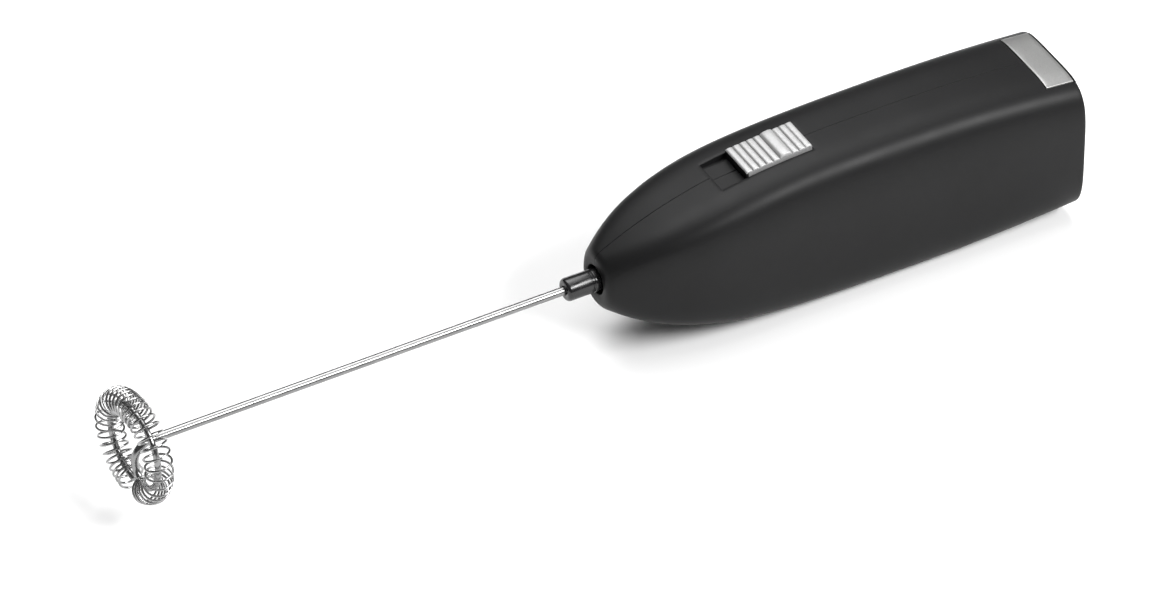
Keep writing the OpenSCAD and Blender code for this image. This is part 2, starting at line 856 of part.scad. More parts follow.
// Place of a point given in the slide frame.
function slide_point(p) = [
  switch_x + p[0] * cos(slide_angle) - p[2] * sin(slide_angle),
  p[1],
  half_h(switch_x) + p[0] * sin(slide_angle) + p[2] * cos(slide_angle)
];

module wire_negative() {
  color("black") wire([
    [motor_end_x + 1.3, -tag_y - 0.2 - wire_r, 0],
    [motor_end_x + 1.6, -tag_y - 2.5, 4],
    [cradle_x - 2.2, -6, 6],
    [tag_front_x + 0.1, -1.25 - wire_r, cell_z - plate_half + plate_t / 2]
  ], [1, 0, 0]);
}

module wire_positive() {
  color("firebrick") wire([
    slide_point([rear_tag_x + 0.9, -carrier_half_w - 1 - wire_r, terminal_z - terminal_t / 2]),
    [cradle_x - 1.9, -carrier_half_w - 2.6, 4],
    [cradle_x - 2.6, -8, -6],
    [tag_front_x + 0.1, -1.25 - wire_r, -cell_z + plate_half - plate_t / 2]
  ], [1, 0, 0]);
}

module wire_motor() {
  color("firebrick") wire([
    slide_point([front_tag_x + 0.9, carrier_half_w + 1 + wire_r, terminal_z - terminal_t / 2]),
    [bell_x + 4, motor_flats / 2 + 2.4, 11],
    [motor_end_x + 3.4, motor_flats / 2 + 1.6, 4],
    [motor_end_x + 1.4, tag_y + 0.2 + wire_r, 0]
  ], [0, 1, 0]);
}

// ---- Battery door ----

// Outline of the door's plate: flat at the foot, with chamfered lower corners.
module door_outline() {
  chamfer_z = door_foot_z + foot_chamfer_h;
  translate([door_x, 0, 0]) rotate([90, 0, 90]) linear_extrude(door_t + 1) polygon([
    [-foot_half_w, door_foot_z],
    [foot_half_w, door_foot_z],
    [door_half_w, chamfer_z],
    [door_half_w, rear_half_h],
    [-door_half_w, rear_half_h],
    [-door_half_w, chamfer_z]
  ]);
}

module battery_door() {
  half = latch_w / 2;
  tail_x = latch_front - 1;
  row() color("#26262a") difference() {
    union() {
      difference() {
        intersection() {
          loft(0, tail_x, handle_len, true);
          block([latch_front, -half, 0], [handle_len + 1, half, 50]);
        }
        loft(tongue_t, tail_x - 1, door_x);
      }
      intersection() {
        loft(door_inset, door_x - 1, handle_len);
        door_outline();
      }
      block([hinge_x, -hinge_w / 2, hinge_z], [handle_len - 0.1, hinge_w / 2, door_foot_z + 0.5]);
      translate([hinge_x, 0, hinge_z]) rod_y(-hinge_w / 2, hinge_w / 2, knuckle_r);
    }
    difference() {
      block([tail_x, -half, 0], [latch_rear, half, 50]);
      loft(latch_t, tail_x - 1, handle_len + 1);
    }
    translate([hinge_x, 0, hinge_z]) rod_y(-hinge_w, hinge_w, pin_r + 0.05);
  }
}

module door_latch_plate() {
  half = latch_w / 2 - 0.05;
  row() color("silver") translate([0, 0, latch_lift]) intersection() {
    difference() {
      loft(0, latch_front - 1, handle_len + 1);
      loft(latch_t, latch_front - 2, handle_len + 2);
    }
    block([latch_front, -half, 0], [latch_rear - 0.05, half, 50]);
  }
}

module door_contact_plate() {
  row() color("gold") {
    block([door_plate_x, -plate_half, -cell_z - 3.2], [door_x, plate_half, cell_z + plate_half]);
    translate([door_plate_x + tiny, 0, cell_z]) rotate([0, -90, 0])
      cylinder(h = door_plate_x - cells_end_x - 0.15, r1 = 3.2, r2 = 1.9, $fn = fine);
  }
}

module door_contact_spring() {
  row() color("gold")
    contact_coil(door_plate_x - coil_wire_r, cells_end_x + coil_wire_r + 0.15, -cell_z);
}

module door_hinge_pin() {
  row() color("silver") translate([hinge_x, 0, hinge_z])
    rod_y(-hinge_w / 2 - 4, hinge_w / 2 + 4, pin_r);
}

housing_left();
housing_right();
housing_screws();
battery_cradle();
battery_upper();
battery_lower();
battery_jackets();
front_negative_plate();
front_negative_spring();
front_positive_contact();
motor_can();
motor_end_bell();
motor_magnets();
motor_bushings();
motor_brushes();
motor_terminals();
motor_shaft();
armature_core();
armature_windings();
commutator();
coupling_sleeve();
whisk_shaft();
whisk_ring();
whisk_spring();
switch_button();
switch_carrier();
switch_clip();
switch_leaf();
switch_terminal_front();
switch_terminal_rear();
wire_negative();
wire_positive();
wire_motor();
battery_door();
door_latch_plate();
door_contact_plate();
door_contact_spring();
door_hinge_pin();
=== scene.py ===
import json
import math

import bmesh
import bpy
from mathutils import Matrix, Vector


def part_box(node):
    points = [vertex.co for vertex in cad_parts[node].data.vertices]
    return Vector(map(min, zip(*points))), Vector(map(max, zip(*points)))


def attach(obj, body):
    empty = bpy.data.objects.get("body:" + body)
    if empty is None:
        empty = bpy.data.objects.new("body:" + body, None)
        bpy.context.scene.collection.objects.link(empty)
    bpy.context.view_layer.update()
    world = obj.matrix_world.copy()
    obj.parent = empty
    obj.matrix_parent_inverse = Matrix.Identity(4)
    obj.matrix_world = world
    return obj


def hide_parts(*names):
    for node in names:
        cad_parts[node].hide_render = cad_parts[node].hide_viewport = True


# Milk frother: detailed surfaces and materials round the CAD frame.
# Lengths are in millimetres up to place(), which gives metres.

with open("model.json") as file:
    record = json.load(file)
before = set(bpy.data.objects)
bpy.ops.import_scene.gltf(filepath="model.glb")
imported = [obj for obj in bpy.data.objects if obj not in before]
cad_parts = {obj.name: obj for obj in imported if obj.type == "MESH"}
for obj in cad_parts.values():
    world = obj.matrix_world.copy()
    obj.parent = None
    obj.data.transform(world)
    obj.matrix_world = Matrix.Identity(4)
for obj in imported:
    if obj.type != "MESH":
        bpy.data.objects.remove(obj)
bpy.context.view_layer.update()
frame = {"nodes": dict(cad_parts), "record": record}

MM = 0.001

# ---- Frame: places and sizes read from the CAD nodes ----


def node_box(name):
    """Lowest and highest corner of a CAD node, in millimetres."""
    low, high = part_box(name)
    return Vector(low) / MM, Vector(high) / MM


LEFT_LOW, LEFT_HIGH = node_box("housing_left")
NOSE_X = LEFT_LOW.x
AXIS_Z = (LEFT_LOW.z + LEFT_HIGH.z) / 2
HANDLE_LEN = LEFT_HIGH.x - LEFT_LOW.x


def local(corner):
    """A corner of the row frame in the tool frame: x from the nose face, z from the spin axis."""
    return Vector((corner.x - NOSE_X, corner.y, corner.z - AXIS_Z))


def local_box(name):
    low, high = node_box(name)
    return local(low), local(high)


def place(point):
    """A point of the tool frame in the row frame, in metres."""
    return ((point[0] + NOSE_X) * MM, point[1] * MM, (point[2] + AXIS_Z) * MM)


# ---- Shape of the handle ----

WALL = 1.5
GAP = 0.2
NOSE_HALF_W, SHOULDER_HALF_W, REAR_HALF_W = 5.2, 12.75, 13.6
NOSE_HALF_H, BELLY_HALF_H, REAR_HALF_H = 6.0, 18.0, 15.8
NOSE_LEN_W, NOSE_LEN_H = 34.5, 67.5
NOSE_POWER_W, NOSE_POWER_H = 2.6, 3.2
SQUARENESS = 4.5
SECTION_BLEND = 12
NOSE_ROUND = 1.0
REAR_ROUND = 0.5
NOSE_HOLE_R = 3.15
NOSE_WALL = 2.0


def profile(x, start, middle, end, length, power):
    if x < length:
        return start + (middle - start) * (1 - (1 - max(x, 0) / length) ** power)
    return middle + (end - middle) * ((x - length) / (HANDLE_LEN - length)) ** 2


def half_w(x):
    return profile(x, NOSE_HALF_W, SHOULDER_HALF_W, REAR_HALF_W, NOSE_LEN_W, NOSE_POWER_W)


def half_h(x):
    return profile(x, NOSE_HALF_H, BELLY_HALF_H, REAR_HALF_H, NOSE_LEN_H, NOSE_POWER_H)


def exponent(x):
    return 2 + (SQUARENESS - 2) * (1 - (1 - min(max(x, 0) / SECTION_BLEND, 1)) ** 2)


def round_inset(x):
    """How far the rounded ends draw the outer skin in."""
    if x < NOSE_ROUND:
        return NOSE_ROUND - math.sqrt(NOSE_ROUND**2 - (NOSE_ROUND - x) ** 2)
    over = x - (HANDLE_LEN - REAR_ROUND)
    if over > 0:
        return REAR_ROUND - math.sqrt(max(0.0, REAR_ROUND**2 - over**2))
    return 0.0


def skin_height(x, y, inset):
    """Height of the handle's skin over the axis at x and y."""
    a, b, n = half_w(x) - inset, half_h(x) - inset, exponent(x)
    return b * max(0.0, 1 - (abs(y) / a) ** n) ** (1 / n)


def skin_polar(x, angle, inset):
    """Point (y, z) of the skin at an angle from the +y side."""
    a, b, n = half_w(x) - inset, half_h(x) - inset, exponent(x)
    c, s = math.cos(angle), math.sin(angle)
    r = (abs(c / a) ** n + abs(s / b) ** n) ** (-1 / n)
    return r * c, r * s


# ---- Switch, door and whisk: sizes that several pieces share ----

SWITCH_X = 39.4
BUTTON_LEN = 15.0
BUTTON_W = 8.5
TRAVEL = frame["record"]["behaviour"]["joints"][1]["range_m"][1] / MM
BUTTON_RISE = 1.0
POCKET_DEPTH = 1.5
FLOOR_T = 1.2
TUB_WALL = 1.2
STEM_HALF_LEN = 1.7
STEM_HALF_W = 1.4
SLIDE_RISE = half_h(SWITCH_X + BUTTON_LEN / 2) - half_h(SWITCH_X - BUTTON_LEN / 2)
SLIDE_ANGLE = math.atan(SLIDE_RISE / BUTTON_LEN)


def slide_point(u, y, w):
    """Point of the slide frame, whose u axis follows the surface under the button."""
    c, s = math.cos(SLIDE_ANGLE), math.sin(SLIDE_ANGLE)
    return SWITCH_X + u * c - w * s, y, half_h(SWITCH_X) + u * s + w * c


def slide_plane(x, depth):
    """Height of the plane at that depth under the slide frame."""
    return half_h(SWITCH_X) + (x - SWITCH_X) * math.tan(SLIDE_ANGLE) - depth / math.cos(SLIDE_ANGLE)


def slide_x(u):
    return SWITCH_X + u * math.cos(SLIDE_ANGLE)


POCKET_X = (slide_x(-(BUTTON_LEN / 2 + TRAVEL + GAP)), slide_x(BUTTON_LEN / 2 + GAP))
POCKET_HALF_W = BUTTON_W / 2 + GAP
SLOT_X = (slide_x(-STEM_HALF_LEN - TRAVEL - GAP), slide_x(STEM_HALF_LEN + GAP))
SLOT_HALF_W = STEM_HALF_W + GAP

PLATE_LOW, PLATE_HIGH = local_box("door_latch_plate")
PLATE_RIM = 0.2      # width of the door's dark rim behind the plate
LATCH_FRONT = PLATE_LOW.x
PLATE_REAR = PLATE_HIGH.x - PLATE_RIM
LATCH_HALF_W = PLATE_HIGH.y
LATCH_T = 0.6
LATCH_LIFT = 0.1
NOTCH_X = LATCH_FRONT - GAP
NOTCH_HALF_W = LATCH_HALF_W + GAP
TONGUE_T = WALL - GAP

PIN_LOW, PIN_HIGH = local_box("door_hinge_pin")
HINGE_X = (PIN_LOW.x + PIN_HIGH.x) / 2
HINGE_Z = (PIN_LOW.z + PIN_HIGH.z) / 2
PIN_OVERHANG = 4.0   # length of the pin outside the knuckle, at either end
SILL_PLAY = 0.55     # room between the knuckle and the sill
FOOT_PLAY = 0.05     # room, on top of the gap, between the sill and the door's foot
KNUCKLE_R = HANDLE_LEN - HINGE_X
HINGE_HALF_W = (PIN_HIGH.y - PIN_LOW.y) / 2 - PIN_OVERHANG
SILL_R = KNUCKLE_R + SILL_PLAY
DOOR_FOOT_Z = HINGE_Z + SILL_R + GAP + FOOT_PLAY
DOOR_T = 1.8
DOOR_X = HANDLE_LEN - DOOR_T
HINGE_CUT_X = HINGE_X - KNUCKLE_R - GAP
HINGE_CUT_HALF_W = HINGE_HALF_W + GAP

EDGE = 0.17          # width of the rounded rim of a cut
EDGE_DROP = 0.09     # how far the rim's edge lies under the skin
STEP = 0.03          # lean of an upright wall of the pocket


# ---- Mesh helpers ----


def mesh_piece(name, points, faces, body, materials, sharp=32, picks=None):
    """A smooth-shaded piece from points in the tool frame. picks gives a material number per face."""
    mesh = bpy.data.meshes.new(name)
    mesh.from_pydata([place(p) for p in points], [], faces)
    if picks:
        mesh.polygons.foreach_set("material_index", picks)
    work = bmesh.new()
    work.from_mesh(mesh)
    bmesh.ops.remove_doubles(work, verts=work.verts, dist=1e-9)
    bmesh.ops.recalc_face_normals(work, faces=work.faces)
    work.to_mesh(mesh)
    work.free()
    mesh.shade_smooth()
    mesh.set_sharp_from_angle(angle=math.radians(sharp))
    for material in materials:
        mesh.materials.append(material)
    piece = bpy.data.objects.new(name, mesh)
    bpy.context.scene.collection.objects.link(piece)
    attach(piece, body)
    return piece


def grid_faces(rows, columns, close_rows=False, close_columns=False, start=0):
    """Quads of a grid of points stored row by row from start."""
    faces = []
    for i in range(rows if close_rows else rows - 1):
        for j in range(columns if close_columns else columns - 1):
            a, b = start + i * columns, start + (i + 1) % rows * columns
            k = (j + 1) % columns
            faces.append((a + j, a + k, b + k, b + j))
    return faces


def grid_rim(rows, columns):
    """Numbers of a grid's outermost points, in order round it."""
    rim = list(range(columns))
    rim += [i * columns + columns - 1 for i in range(1, rows)]
    rim += [(rows - 1) * columns + j for j in range(columns - 2, -1, -1)]
    rim += [i * columns for i in range(rows - 2, 0, -1)]
    return rim


def tube(path, radii, sides, ref):
    """Closed round tube along path. ref(i) is a direction that is never along the wire there."""
    points = []
    last = len(path) - 1
    for i, here in enumerate(path):
        along = (Vector(path[min(i + 1, last)]) - Vector(path[max(i - 1, 0)])).normalized()
        side = Vector(ref(i))
        side = (side - side.dot(along) * along).normalized()
        other = along.cross(side)
        for k in range(sides):
            angle = 2 * math.pi * k / sides
            points.append(Vector(here) + radii[i] * (math.cos(angle) * side + math.sin(angle) * other))
    faces = grid_faces(last + 1, sides, close_columns=True)
    faces.append(tuple(range(sides)))
    faces.append(tuple(last * sides + k for k in range(sides)))
    return points, faces


def rounded_end(count=6):
    """Shares (along, radius) of a quarter-round end, from its tip."""
    steps = [math.pi / 2 * i / count for i in range(count + 1)]
    return [(1 - math.cos(t), math.sin(t)) for t in steps]


def lathe(outline, sides, centre=(0, 0, 0), axis="x"):
    """Ring of points round an axis for each (along, radius) of a closed outline."""
    points = []
    for along, radius in outline:
        for k in range(sides):
            angle = 2 * math.pi * k / sides
            c, s = radius * math.cos(angle), radius * math.sin(angle)
            offset = (along, c, s) if axis == "x" else (c, along, s)
            points.append(tuple(centre[n] + offset[n] for n in range(3)))
    return points, grid_faces(len(outline), sides, close_rows=True, close_columns=True)


def merged(*parts):
    """Several (points, faces) as one."""
    points, faces = [], []
    for more_points, more_faces in parts:
        shift = len(points)
        points.extend(more_points)
        faces.extend(tuple(v + shift for v in face) for face in more_faces)
    return points, faces


def prism(outline, low, high, bevel, lift):
    """Prism of a closed outline between two levels, with bevelled rims.

    lift(point, level) places a point.
    """
    count = len(outline)
    middle = Vector((sum(p[0] for p in outline) / count, sum(p[1] for p in outline) / count))
    levels = [(low, bevel), (low + bevel * 0.3, bevel * 0.3), (low + bevel, 0)]
    levels += [(high - bevel, 0), (high - bevel * 0.3, bevel * 0.3), (high, bevel)]
    points = []
    for level, inset in levels:
        for p in outline:
            away = Vector(p) - middle
            points.append(lift(middle + away * (1 - inset / away.length), level))
    faces = grid_faces(len(levels), count, close_columns=True)
    faces.append(tuple(range(count)))
    faces.append(tuple((len(levels) - 1) * count + k for k in range(count)))
    return points, faces


# ---- Materials ----


class Look:
    """A procedural material under construction."""

    def __init__(self, name, color, roughness, metallic=0.0):
        self.material = bpy.data.materials.new(name)
        self.material.use_nodes = True
        self.tree = self.material.node_tree
        self.shader = self.tree.nodes["Principled BSDF"]
        self.color = color
        self.shader.inputs["Base Color"].default_value = (*color, 1)
        self.shader.inputs["Roughness"].default_value = roughness
        self.shader.inputs["Metallic"].default_value = metallic
        self.coordinates = self.node("ShaderNodeTexCoord").outputs["Object"]
        self.normal = None

    def node(self, kind, **values):
        made = self.tree.nodes.new(kind)
        for key, value in values.items():
            setattr(made, key, value)
        return made

    def link(self, source, target):
        self.tree.links.new(source, target)

    def noise(self, size, detail=3.0, stretch=(1, 1, 1)):
        """Noise with features of about that size in millimetres."""
        mapping = self.node("ShaderNodeMapping")
        mapping.inputs["Scale"].default_value = stretch
        self.link(self.coordinates, mapping.inputs["Vector"])
        made = self.node("ShaderNodeTexNoise")
        made.inputs["Scale"].default_value = 1 / (size * MM)
        made.inputs["Detail"].default_value = detail
        self.link(mapping.outputs["Vector"], made.inputs["Vector"])
        return made.outputs["Fac"]

    def spread(self, source, low, high):
        """The source from 0.3 to 0.7, mapped to low to high."""
        made = self.node("ShaderNodeMapRange")
        made.inputs["From Min"].default_value = 0.3
        made.inputs["From Max"].default_value = 0.7
        made.inputs["To Min"].default_value = low
        made.inputs["To Max"].default_value = high
        self.link(source, made.inputs["Value"])
        return made.outputs["Result"]

    def vary_color(self, source, darker, lighter):
        """Colour between two shares of the base colour."""
        ramp = self.node("ShaderNodeValToRGB")
        for element, share in zip(ramp.color_ramp.elements, (darker, lighter)):
            element.color = (*(min(1.0, c * share) for c in self.color), 1)
        ramp.color_ramp.elements[0].position = 0.3
        ramp.color_ramp.elements[1].position = 0.7
        self.link(source, ramp.inputs["Fac"])
        self.link(ramp.outputs["Color"], self.shader.inputs["Base Color"])
        return ramp

    def vary_roughness(self, source, low, high):
        self.link(self.spread(source, low, high), self.shader.inputs["Roughness"])

    def bump(self, source, height, strength=1.0):
        """Adds relief of that height in millimetres."""
        made = self.node("ShaderNodeBump")
        made.inputs["Strength"].default_value = strength
        made.inputs["Distance"].default_value = height * MM
        self.link(source, made.inputs["Height"])
        if self.normal:
            self.link(self.normal, made.inputs["Normal"])
        self.normal = made.outputs["Normal"]
        self.link(self.normal, self.shader.inputs["Normal"])


def soft_touch_plastic(name, color, roughness):
    """Matte moulded plastic: a fine spark-eroded grain, faint flow marks and handling shine."""
    look = Look(name, color, roughness)
    look.shader.inputs["Specular IOR Level"].default_value = 0.16
    look.vary_color(look.noise(14, 4), 0.93, 1.08)
    look.vary_roughness(look.noise(9, 5), roughness - 0.03, roughness + 0.03)
    look.bump(look.noise(0.16, 2), 0.006)
    look.bump(look.noise(6, 2), 0.01, 0.6)
    return look.material


def gloss_plastic(name, color, roughness):
    look = Look(name, color, roughness)
    look.vary_color(look.noise(4, 3), 0.9, 1.12)
    look.vary_roughness(look.noise(1.5, 4), roughness - 0.05, roughness + 0.08)
    look.bump(look.noise(1.8, 3), 0.01, 0.5)
    return look.material


def metal_paint(name, color, roughness, metallic):
    """Silver paint: flakes that sparkle, a slight orange peel and a thin clear coat."""
    look = Look(name, color, roughness, metallic)
    look.vary_color(look.noise(0.13, 1), 0.86, 1.12)
    look.vary_roughness(look.noise(0.2, 2), roughness - 0.06, roughness + 0.08)
    look.bump(look.noise(0.14, 1), 0.004)
    look.bump(look.noise(2.2, 2), 0.006, 0.5)
    look.shader.inputs["Coat Weight"].default_value = 0.25
    look.shader.inputs["Coat Roughness"].default_value = 0.25
    return look.material


def polished_wire(name, color, roughness):
    """Bright drawn steel: die lines round the wire and a few dull spots."""
    look = Look(name, color, roughness, 1.0)
    look.vary_color(look.noise(3, 3), 0.9, 1.06)
    look.vary_roughness(look.noise(0.9, 4, (0.15, 1, 1)), roughness - 0.04, roughness + 0.07)
    look.bump(look.noise(0.5, 2, (0.05, 1, 1)), 0.002, 0.5)
    return look.material


def plain_metal(name, color, roughness, grain=0.4):
    """Rolled or stamped metal with light tarnish."""
    look = Look(name, color, roughness, 1.0)
    look.vary_color(look.noise(2.5, 4), 0.78, 1.1)
    look.vary_roughness(look.noise(1.2, 4), roughness - 0.08, roughness + 0.1)
    look.bump(look.noise(grain, 2, (0.2, 1, 1)), 0.004, 0.6)
    return look.material


def printed_film(name, color, band, low_x, high_x):
    """Shrink film with one darker band at one end and faint wrinkles."""
    look = Look(name, color, 0.25)
    split = look.node("ShaderNodeSeparateXYZ")
    look.link(look.coordinates, split.inputs["Vector"])
    where = look.node("ShaderNodeMapRange")
    where.inputs["From Min"].default_value = low_x * MM
    where.inputs["From Max"].default_value = high_x * MM
    look.link(split.outputs["X"], where.inputs["Value"])
    ramp = look.node("ShaderNodeValToRGB")
    ramp.color_ramp.interpolation = "CONSTANT"
    ramp.color_ramp.elements[0].color = (*color, 1)
    ramp.color_ramp.elements[1].color = (*band, 1)
    ramp.color_ramp.elements[1].position = 0.78
    look.link(where.outputs["Result"], ramp.inputs["Fac"])
    look.link(ramp.outputs["Color"], look.shader.inputs["Base Color"])
    look.bump(look.noise(3, 3), 0.02, 0.5)
    return look.material


BLACK = soft_touch_plastic("soft_touch_black", (0.0075, 0.0075, 0.0078), 0.44)
BLACK_INSIDE = soft_touch_plastic("moulded_black", (0.008, 0.008, 0.0085), 0.6)
GLOSS_BLACK = gloss_plastic("gloss_black", (0.008, 0.008, 0.0085), 0.22)
SILVER_PAINT = metal_paint("silver_paint", (0.4, 0.4, 0.4), 0.5, 0.4)
SATIN_SILVER = metal_paint("satin_silver", (0.37, 0.37, 0.365), 0.36, 0.8)
# The shaft's steel is a darker copy of the ring's wire steel: painted shade that tones down the lamps'
# glare on the shaft.
SHADED_SHAFT_STEEL = polished_wire("shaft_steel_painted_shade", (0.24, 0.24, 0.24), 0.24)
WIRE_STEEL = polished_wire("polished_steel", (0.28, 0.28, 0.28), 0.2)
SPRING_STEEL = polished_wire("spring_steel", (0.34, 0.34, 0.34), 0.16)
STEEL = plain_metal("zinc_steel", (0.6, 0.6, 0.61), 0.35)
MOTOR_STEEL = plain_metal("galvanised_steel", (0.5, 0.51, 0.52), 0.42, 0.8)
COPPER = plain_metal("copper", (0.74, 0.36, 0.2), 0.35)
BRONZE = plain_metal("sintered_bronze", (0.5, 0.33, 0.17), 0.5)
NICKEL = plain_metal("nickel_plate", (0.62, 0.6, 0.55), 0.28)
FERRITE = soft_touch_plastic("ferrite", (0.03, 0.03, 0.033), 0.7)
PALE_NYLON = soft_touch_plastic("pale_nylon", (0.7, 0.69, 0.64), 0.5)
CELL_METAL = plain_metal("cell_steel", (0.66, 0.66, 0.66), 0.3)
BLACK_PVC = gloss_plastic("black_lead", (0.02, 0.02, 0.02), 0.35)
RED_PVC = gloss_plastic("red_lead", (0.4, 0.02, 0.015), 0.35)

# ---- Camera and light ----

CAMERA_AZIMUTH = math.radians(-29.29)
CAMERA_ELEVATION = math.radians(40)
CAMERA_DISTANCE = 1.775              # metres
FOCAL_LENGTH = 279.31
SENSOR_W = 36
AIM_LEFT, AIM_DROP = 2.925, 3.238    # from the nose face's centre to the point aimed at
FLOOR_HALF_W = 3.0                   # metres
WORLD_STRENGTH = 0.25
HORIZON_GREY = 0.2


def toward(azimuth, elevation):
    """Unit vector from the object towards that direction."""
    flat = math.cos(elevation)
    return Vector((math.sin(azimuth) * flat, -math.cos(azimuth) * flat, math.sin(elevation)))


def make_camera():
    back = toward(CAMERA_AZIMUTH, CAMERA_ELEVATION)
    right = Vector((math.cos(CAMERA_AZIMUTH), math.sin(CAMERA_AZIMUTH), 0))
    up = back.cross(right)
    aim = Vector(place((0, 0, 0))) - (right * AIM_LEFT + up * AIM_DROP) * MM
    camera = bpy.data.objects.new("camera", bpy.data.cameras.new("camera"))
    camera.data.sensor_width = SENSOR_W
    camera.data.lens = FOCAL_LENGTH
    camera.data.clip_start = 0.1
    camera.data.clip_end = 20
    camera.location = aim + back * CAMERA_DISTANCE
    camera.rotation_mode = "QUATERNION"
    camera.rotation_quaternion = (-back).to_track_quat("-Z", "Y")
    bpy.context.scene.collection.objects.link(camera)
    bpy.context.scene.camera = camera


def make_light(name, azimuth, elevation, distance, size, power):
    """Soft rectangular light aimed at the object. Angles in degrees, lengths in metres, power in watts."""
    light = bpy.data.objects.new(name, bpy.data.lights.new(name, "AREA"))
    light.data.shape = "RECTANGLE"
    light.data.size, light.data.size_y = size
    light.data.energy = power
    back = toward(math.radians(azimuth), math.radians(elevation))
    light.location = back * distance
    light.rotation_mode = "QUATERNION"
    light.rotation_quaternion = (-back).to_track_quat("-Z", "Y")
    bpy.context.scene.collection.objects.link(light)


def make_world():
    """Soft light from all round, brighter overhead than at the horizon."""
    world = bpy.data.worlds.new("studio")
    bpy.context.scene.world = world
    world.use_nodes = True
    tree = world.node_tree
    background = tree.nodes["Background"]
    background.inputs["Strength"].default_value = WORLD_STRENGTH
    coordinates = tree.nodes.new("ShaderNodeTexCoord")
    split = tree.nodes.new("ShaderNodeSeparateXYZ")
    ramp = tree.nodes.new("ShaderNodeValToRGB")
    ramp.color_ramp.elements[0].color = (HORIZON_GREY, HORIZON_GREY, HORIZON_GREY, 1)
    ramp.color_ramp.elements[1].color = (1, 1, 1, 1)
    tree.links.new(coordinates.outputs["Generated"], split.inputs["Vector"])
    tree.links.new(split.outputs["Z"], ramp.inputs["Fac"])
    tree.links.new(ramp.outputs["Color"], background.inputs["Color"])


def make_floor():
    mesh = bpy.data.meshes.new("floor")
    half = FLOOR_HALF_W
    corners = [(-half, -half, 0), (half, -half, 0), (half, half, 0), (-half, half, 0)]
    mesh.from_pydata(corners, [], [(0, 1, 2, 3)])
    look = Look("pale_floor", (0.9, 0.9, 0.9), 0.8)
    look.vary_roughness(look.noise(40, 2), 0.75, 0.85)
    mesh.materials.append(look.material)
    floor = bpy.data.objects.new("floor", mesh)
    bpy.context.scene.collection.objects.link(floor)


bpy.context.scene.view_settings.view_transform = "Standard"
make_camera()
make_world()
make_floor()
make_light("key", 35, 42, 1.2, (0.8, 0.3), 18)
make_light("top", 130, 80, 1.4, (1.0, 0.8), 7)
make_light("back", 168, 60, 1.5, (1.2, 0.8), 16)

# ---- Housing ----

Y_LINES = [0.02, 0.12, 0.75, SLOT_HALF_W, 2.4, 3.4, 4.2]
Y_LINES += [POCKET_HALF_W - STEP, POCKET_HALF_W, POCKET_HALF_W + EDGE]
Y_LINES += [5.3, HINGE_CUT_HALF_W, 7.2, 8.2, NOTCH_HALF_W - EDGE, NOTCH_HALF_W, NOTCH_HALF_W + EDGE, 9.9]
Y_FULL = 11.0        # half width over which the lines keep their distance from the parting plane
SIDE_COUNT = 36
SEAM_DROP = 0.16     # depth of the groove along the parting line
NOSE_SPACE = 0.6     # from the nose wall to the first row that both skins share
REAR_SPACING = 1.6
LEAST_SPACING = 0.35
NOSE_STATIONS = (2.1, 1.6, 1.25)
NOSE_LIP = 0.3       # radius of the rounded rim of the nose's hole


def column_points(x, inset):
    """Half section on the +y side, from the top to the bottom, as (y, z)."""
    scale = min(1.0, (half_w(x) - inset) / Y_FULL)
    lines = [y * scale for y in Y_LINES]
    top = [(y, skin_height(x, y, inset)) for y in lines]
    start = math.atan2(top[-1][1], top[-1][0])
    angles = [start * (1 - 2 * k / (SIDE_COUNT + 1)) for k in range(1, SIDE_COUNT + 1)]
    side = [skin_polar(x, angle, inset) for angle in angles]
    return top + side + [(y, -z) for y, z in reversed(top)]


def sill_top(x):
    over = max(0.0, x - HINGE_X)
    return HINGE_Z + math.sqrt(max(0.0, SILL_R**2 - over**2))


def outer_row(x):
    """Outer skin of one half at x, with the pocket pressed into it."""
    row = []
    count = len(Y_LINES)
    for j, (y, z) in enumerate(column_points(x, round_inset(x))):
        if j < count and POCKET_X[0] <= x <= POCKET_X[1] and y <= POCKET_HALF_W + 0.001:
            inside = POCKET_X[0] + STEP / 2 < x < POCKET_X[1] - STEP / 2 and y < POCKET_HALF_W - STEP / 2
            z = slide_plane(x, POCKET_DEPTH) if inside else z - EDGE_DROP
        row.append((x, y, z))
    row[0] = (x, row[0][1], row[0][2] - SEAM_DROP)
    row[-1] = (x, row[-1][1], row[-1][2] + SEAM_DROP)
    return row


def inner_row(x):
    """Inner skin at x, with the pocket's tub and the sill standing into it."""
    row = []
    for y, z in column_points(x, WALL):
        if POCKET_X[0] - TUB_WALL < x < POCKET_X[1] + TUB_WALL and z > 0 and y < POCKET_HALF_W + TUB_WALL:
            z = min(z, slide_plane(x, POCKET_DEPTH + FLOOR_T))
        if x > DOOR_X - GAP and z < 0 and y > HINGE_CUT_HALF_W - 0.001:
            z = max(z, sill_top(x))
        row.append((x, y, z))
    return row


def stations():
    """Places of the rows that the outer and the inner skin share."""
    first = NOSE_WALL + NOSE_SPACE
    fixed = [first, *SLOT_X, NOTCH_X - EDGE, NOTCH_X, HINGE_CUT_X, DOOR_X - GAP, DOOR_X - GAP + STEP]
    for end, sign in zip(POCKET_X, (1, -1)):
        fixed += [end - sign * EDGE, end, end + sign * STEP]
        fixed += [end - sign * TUB_WALL, end - sign * (TUB_WALL + STEP)]
    fixed += [HINGE_X, HINGE_X + 0.8, HANDLE_LEN - REAR_ROUND, HANDLE_LEN]
    fixed += [HANDLE_LEN - REAR_ROUND * (1 - math.sin(math.radians(t))) for t in (25, 50, 70)]
    loose = [first + (NOSE_LEN_H - first) * (i / 46) ** 1.35 for i in range(47)]
    rear_count = int((HANDLE_LEN - NOSE_LEN_H) / REAR_SPACING)
    loose += [NOSE_LEN_H + i * REAR_SPACING for i in range(1, rear_count + 1)]
    kept = [x for x in loose if min(abs(x - f) for f in fixed) > LEAST_SPACING]
    return sorted(fixed + kept)


